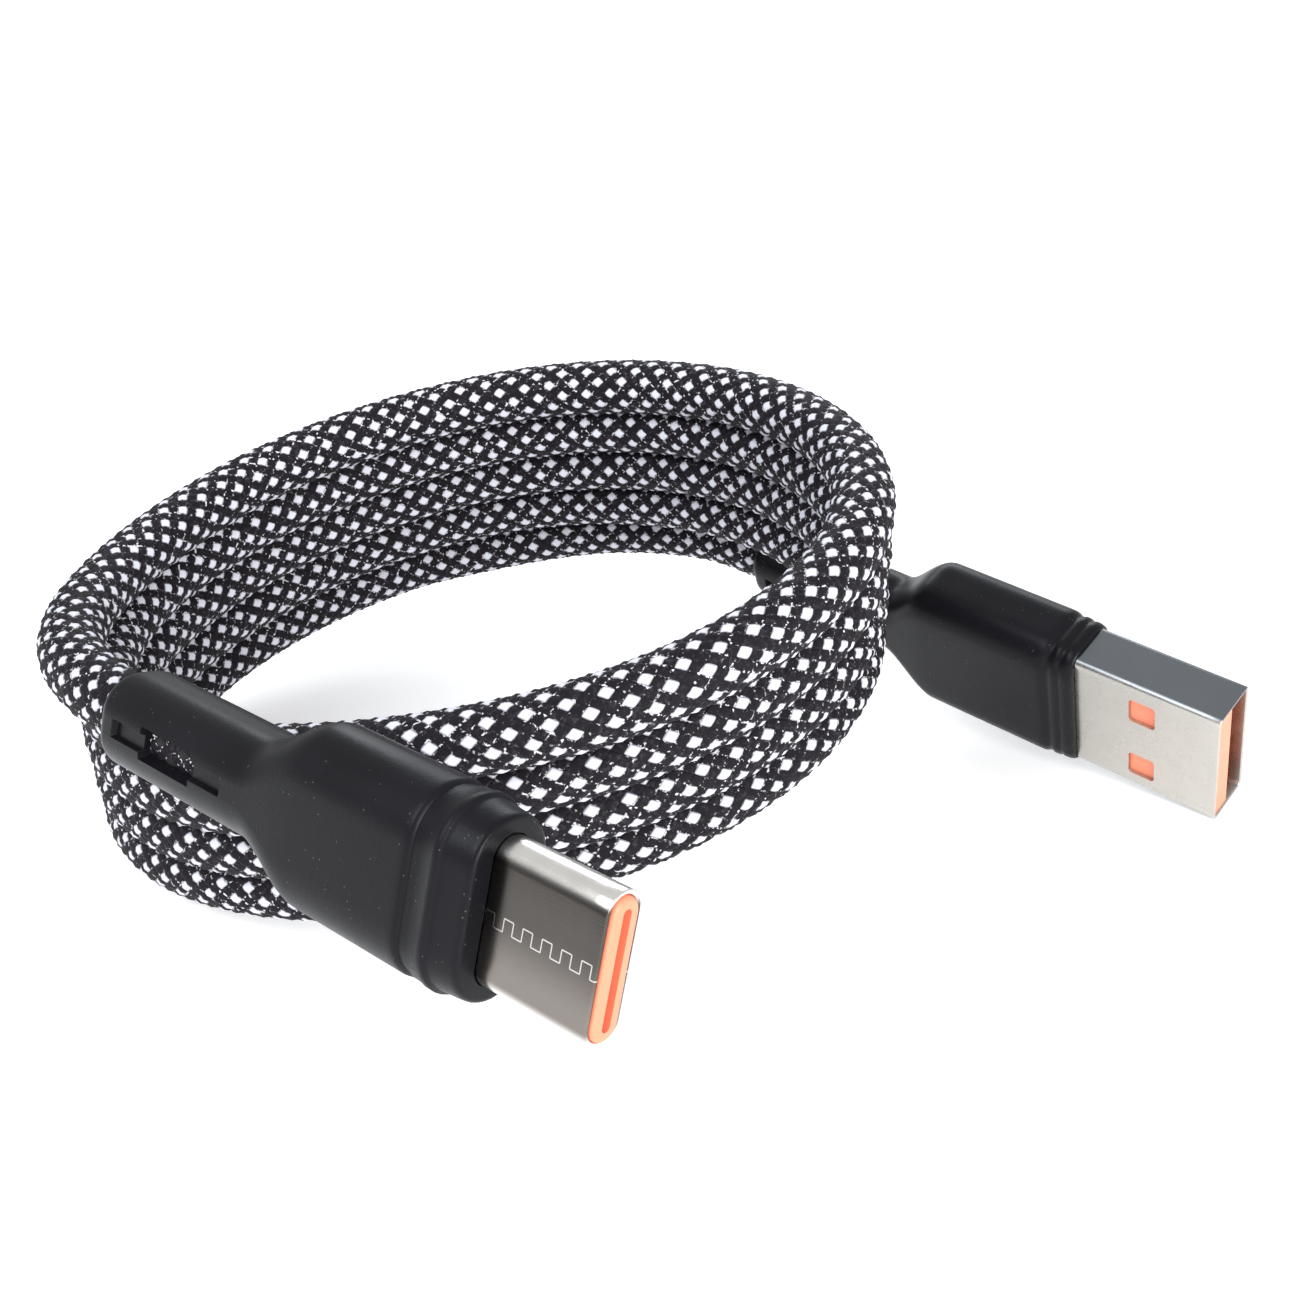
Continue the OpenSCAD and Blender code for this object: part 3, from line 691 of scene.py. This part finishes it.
def grip_mesh(plug, front_profile):
    """The outside of a grip: front_profile lists (distance behind the front face, inset)."""
    rings = []
    front = -plug.exposed
    inner_t, inner_w = plug.shell_t + SEAT_GAP, plug.shell_w + SEAT_GAP
    inner_r = A_SEAT_R if plug.key == "a" else inner_t / 2
    for x in (front - SEAT_DEEP, front - SEAT_FRONT):
        rings.append(at_x(outline(inner_t, inner_w, inner_r), x))
    for behind, inset in front_profile:
        t, w, r = boot_size(plug, front - behind)
        rings.append(at_x(outline(t - 2 * inset, w - 2 * inset, max(r - inset, 0.4)),
                          front - behind))
    last = front_profile[-1][0]
    middle = plug.total - BOOT_L / 2
    past_shoulder = 6.5
    even_stops = int((plug.back - plug.exposed - last + past_shoulder) / GRIP_STEP)
    stops = [plug.exposed + last + GRIP_STEP * n for n in range(1, even_stops)]
    stops += fine_steps(middle - SLOT_HALF_L, middle - WINDOW_HALF_L, middle + WINDOW_HALF_L,
                        middle + SLOT_HALF_L)
    stops += [middle + along for along in PLAIN_STOPS]
    stops = sorted(s for s in stops if s < plug.total - BOOT_RIM)
    for stop in stops:
        t, w, r = boot_size(plug, -stop)
        ring = []
        for y, z in outline(t, w, r):
            on_wide = abs(abs(y) - t / 2) < 0.01
            depth = slot_depth(plug, -stop, z) if on_wide else 0.0
            ring.append((-stop, math.copysign(abs(y) - depth, y), z))
        rings.append(ring)
    for n in range(9):
        a = math.radians(90 * n / 8)
        inset = BOOT_RIM * (1 - math.cos(a))
        t, w, r = boot_size(plug, -plug.total)
        rings.append(at_x(outline(t - 2 * inset, w - 2 * inset, r - inset),
                          -(plug.total - BOOT_RIM + BOOT_RIM * math.sin(a))))
    for deep, radius in CORD_HOLE:
        hole = []
        for y, z in outline(BOOT_T - 2 * BOOT_RIM, BOOT_W - 2 * BOOT_RIM, BOOT_R - BOOT_RIM):
            reach = math.hypot(y, z)
            hole.append((deep - plug.total, y / reach * radius, z / reach * radius))
        rings.append(hole)
    points, faces = skin(rings)
    return make_piece(f"usb_{plug.key}_grip_moulding", points, faces, GRIP, plug.place, 50)


# The front of each grip, as (distance behind the front face, inset)
A_FRONT = [(0.0, 0.55), (0.03, 0.44), (0.1, 0.36), (0.25, 0.28), (0.5, 0.22), (0.8, 0.2),
           (0.95, 0.27), (1.15, 0.27), (1.3, 0.17), (1.7, 0.13), (1.85, 0.22), (2.1, 0.24),
           (2.3, 0.16), (2.5, 0.06), (2.75, 0.01), (3.2, 0.0)]
C_FRONT = [(0.0, 0.75), (0.03, 0.6), (0.1, 0.5), (0.25, 0.42), (0.5, 0.38), (1.9, 0.26),
           (2.05, 0.22), (2.15, 0.05), (2.25, 0.0), (2.6, 0.0), (2.75, 0.1), (3.5, 0.1),
           (3.6, 0.24), (4.2, 0.24), (4.35, 0.04), (4.6, 0.0), (5.0, 0.0)]
grip_a = grip_mesh(PLUG_A, A_FRONT)
grip_c = grip_mesh(PLUG_C, C_FRONT)


# ---- Shells ----

def shell_rings(shape, plug, outer_r=None):
    """Rings round a shell's wall, out along it, over its rounded lip and back inside."""
    t, w = plug.shell_t, plug.shell_w
    straight = plug.shell_l - SHELL_LIP
    rings = []

    def add(x, inset):
        if outer_r is None:
            rings.append(at_x(shape(t - 2 * inset, w - 2 * inset), x))
        else:
            rings.append(at_x(shape(t - 2 * inset, w - 2 * inset, max(outer_r - inset, 0.2)), x))

    for n in range(SHELL_STEPS + 1):
        add(-plug.shell_l + straight * n / SHELL_STEPS, 0.0)
    for n in range(1, 7):
        a = math.radians(180 * n / 7)
        add(-SHELL_LIP + SHELL_LIP * math.sin(a), (SHELL_WALL / 2) * (1 - math.cos(a)))
    for n in range(SHELL_STEPS + 1):
        add(-SHELL_LIP - straight * n / SHELL_STEPS, SHELL_WALL)
    return rings


def rounded_cutter(name, x, z, length, width, radius, place):
    """A block with round corners that cuts a window through both wide walls."""
    edge = []
    for cx, cz, first in ((1, 1, 0), (-1, 1, 90), (-1, -1, 180), (1, -1, 270)):
        for n in range(7):
            a = math.radians(first + 90 * n / 6)
            edge.append((x + cx * (length / 2 - radius) + radius * math.cos(a),
                         z + cz * (width / 2 - radius) + radius * math.sin(a)))
    past_wall = 4.0
    rings = [[(px, y, pz) for px, pz in edge] for y in (-past_wall, past_wall)]
    points, faces = skin(rings)
    return make_piece(name, points, faces, NICKEL, place)


def cut(piece, cutter):
    """Takes the cutter's shape out of a piece, and the cutter away."""
    modifier = piece.modifiers.new("Window", "BOOLEAN")
    modifier.operation = "DIFFERENCE"
    modifier.solver = "EXACT"
    modifier.object = cutter
    seen = bpy.context.evaluated_depsgraph_get()
    mesh = bpy.data.meshes.new_from_object(piece.evaluated_get(seen))
    piece.modifiers.remove(modifier)
    piece.data = mesh
    bpy.data.objects.remove(cutter)


def shell_a_outline(t, w, r):
    return outline(t, w, r, A_SHELL_MARKS)


points, faces = skin(shell_rings(shell_a_outline, PLUG_A, A_SHELL_R), closed=True)
shell_a = make_piece("usb_a_shell_folded", points, faces, NICKEL, PLUG_A.place, 40)
for up in (-1, 1):
    window = rounded_cutter("window", LATCH_WINDOW_X, up * LATCH_WINDOW_Z, LATCH_WINDOW_L,
                            LATCH_WINDOW_W, LATCH_WINDOW_R, PLUG_A.place)
    cut(shell_a, window)
shell_a.data.set_sharp_from_angle(angle=math.radians(40))
points, faces = skin(shell_rings(stadium, PLUG_C), closed=True)
shell_c = make_piece("usb_c_shell_drawn", points, faces, NICKEL_SEAMED, PLUG_C.place, 40)


# ---- Insulators ----

def mouth_rings(shape, t, w, front, back):
    """A block with a rounded front that fills a shell's mouth."""
    soft = C_MOUTH_R
    rings = [at_x(shape(t, w), -back)]
    for n in range(7):
        a = math.radians(90 * n / 6)
        inset = soft * (1 - math.cos(a))
        rings.append(at_x(shape(t - 2 * inset, w - 2 * inset), front - soft + soft * math.sin(a)))
    return rings


points, faces = skin(mouth_rings(stadium, C_MOUTH_T, C_MOUTH_W, C_MOUTH_FRONT, C_MOUTH_BACK))
mouth_c = make_piece("usb_c_mouth", points, faces, ORANGE, PLUG_C.place, 60)
slot_outline = stadium(C_SLOT_T, C_SLOT_W)
slot_points, slot_faces = skin([at_x(slot_outline, -C_SLOT_L), at_x(slot_outline, CUTTER_PAST)])
cut(mouth_c, make_piece("slot", slot_points, slot_faces, ORANGE, PLUG_C.place))
mouth_c.data.set_sharp_from_angle(angle=math.radians(50))


# ---- Finishes for the pieces that keep their own shape ----

FINISH_OF = {"insulator": ORANGE, "contacts": GOLD, "circuit_board": BOARD, "resistor": RESISTOR,
             "solder_joints": SOLDER, "wires": WIRE, "crimp": SPRING, "latch_frame": SPRING,
             "inner_mould": MOULD}
for name in frame["nodes"]:
    for ending, material in FINISH_OF.items():
        if name.endswith(ending):
            kept = bpy.data.objects[name]
            if not kept.material_slots:
                kept.data.materials.append(material)
            for material_slot in kept.material_slots:
                material_slot.material = material


# ---- Camera, floor and light ----

# The camera's places are in millimetres, in the same frame as the sizes; its roll is in radians
CAMERA_AT, CAMERA_AIM = (12.976, -109.392, 66.057), (12.976, 5.267, 12.945)
CAMERA_ROLL = -0.0325

# Half the floor's side, in metres
FLOOR_REACH = 9.0


def in_row(x, y, z):
    return (Vector((x, y, z)) - ROW_ORIGIN) * MM


def make_camera():
    camera = bpy.data.cameras.new("camera")
    camera.sensor_width = 36.0
    camera.lens = 43.71
    camera.shift_x = -0.0036
    camera.shift_y = -0.0072
    camera.clip_start = 0.005
    camera.clip_end = 10.0
    holder = bpy.data.objects.new("camera", camera)
    bpy.context.scene.collection.objects.link(holder)
    stand = in_row(*CAMERA_AT)
    target = in_row(*CAMERA_AIM)
    look = (target - stand).to_track_quat("-Z", "Y").to_matrix().to_4x4()
    roll = Matrix.Rotation(CAMERA_ROLL, 4, "Z")
    holder.matrix_world = Matrix.Translation(stand) @ look @ roll
    bpy.context.scene.camera = holder


def make_floor():
    material, tree, surface = finish_for("floor")
    surface.inputs["Base Color"].default_value = (0.95, 0.95, 0.95, 1)
    surface.inputs["Roughness"].default_value = 0.8
    surface.inputs["Emission Color"].default_value = (1, 1, 1, 1)
    surface.inputs["Emission Strength"].default_value = 0.35
    mesh = bpy.data.meshes.new("floor")
    corners = [(x * FLOOR_REACH, y * FLOOR_REACH, 0) for x, y in ((-1, -1), (1, -1), (1, 1), (-1, 1))]
    mesh.from_pydata(corners, [], [(0, 1, 2, 3)])
    mesh.materials.append(material)
    floor = bpy.data.objects.new("floor", mesh)
    bpy.context.scene.collection.objects.link(floor)


def area_light(name, place, target, size, power, colour=(1, 1, 1)):
    """A rectangular light; its places and size are in metres, its power in watts."""
    light = bpy.data.lights.new(name, "AREA")
    light.shape = "RECTANGLE"
    light.size, light.size_y = size
    light.energy = power
    light.color = colour
    holder = bpy.data.objects.new(name, light)
    bpy.context.scene.collection.objects.link(holder)
    place, target = Vector(place), Vector(target)
    turn = (target - place).to_track_quat("-Z", "Y").to_matrix().to_4x4()
    holder.matrix_world = Matrix.Translation(place) @ turn


def make_light():
    world = bpy.data.worlds.new("studio")
    world.use_nodes = True
    bpy.context.scene.world = world
    sky = world.node_tree.nodes["Background"]
    sky.inputs["Color"].default_value = (0.98, 0.99, 1.0, 1)
    sky.inputs["Strength"].default_value = 0.7
    area_light("key", place=(0.22, -0.42, 0.17), target=(0.01, 0, 0.01), size=(0.25, 0.25),
               power=2.5)
    area_light("fill", place=(-0.3, -0.2, 0.4), target=(0, 0, 0.01), size=(0.3, 0.3),
               power=1.5, colour=(0.93, 0.96, 1.0))
    area_light("rear", place=(0.05, 0.5, 0.3), target=(0, 0, 0.01), size=(0.4, 0.2),
               power=1.0, colour=(0.9, 0.95, 1.0))


make_camera()
make_floor()
make_light()
bpy.context.scene.view_settings.view_transform = "Standard"


# ---- Bodies, cords and stand-ins ----

for cord_name, (cord, stretch) in cord_pieces.items():
    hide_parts(cord_name)
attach(cord_pieces["cord_coil"][0], "cord")
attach(cord_pieces["cord_end_a"][0], PLUG_A.body)
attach(cord_pieces["cord_end_c"][0], PLUG_C.body)
for cord_name, plug, start, stop in (("cord_lead_a", PLUG_A, 3, 4), ("cord_lead_c", PLUG_C, 2, 1)):
    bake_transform(cord_pieces[cord_name][0])

replaced = ((grip_a, "usb_a_grip", "black_grip", PLUG_A), (grip_c, "usb_c_grip", "black_grip", PLUG_C),
            (shell_a, "usb_a_shell", "nickel", PLUG_A), (shell_c, "usb_c_shell", "nickel", PLUG_C),
            (mouth_c, "usb_c_insulator", "orange_insulator", PLUG_C))
for piece, node_name, slot_name, plug in replaced:
    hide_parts(node_name)
    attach(piece, plug.body)


for cord_name, backwards, plug in (("cord_lead_a", False, PLUG_A), ("cord_lead_c", True, PLUG_C)):
    on_it = [piece for piece, _, _, its_plug in replaced if its_plug is plug]
    stood_for = [node_name for _, node_name, _, _ in replaced]
    kept = [bpy.data.objects[n] for n in frame["nodes"]
            if n.startswith(f"usb_{plug.key}_") and n not in stood_for]
    on_it += kept + [cord_pieces[f"cord_end_{plug.key}"][0]]
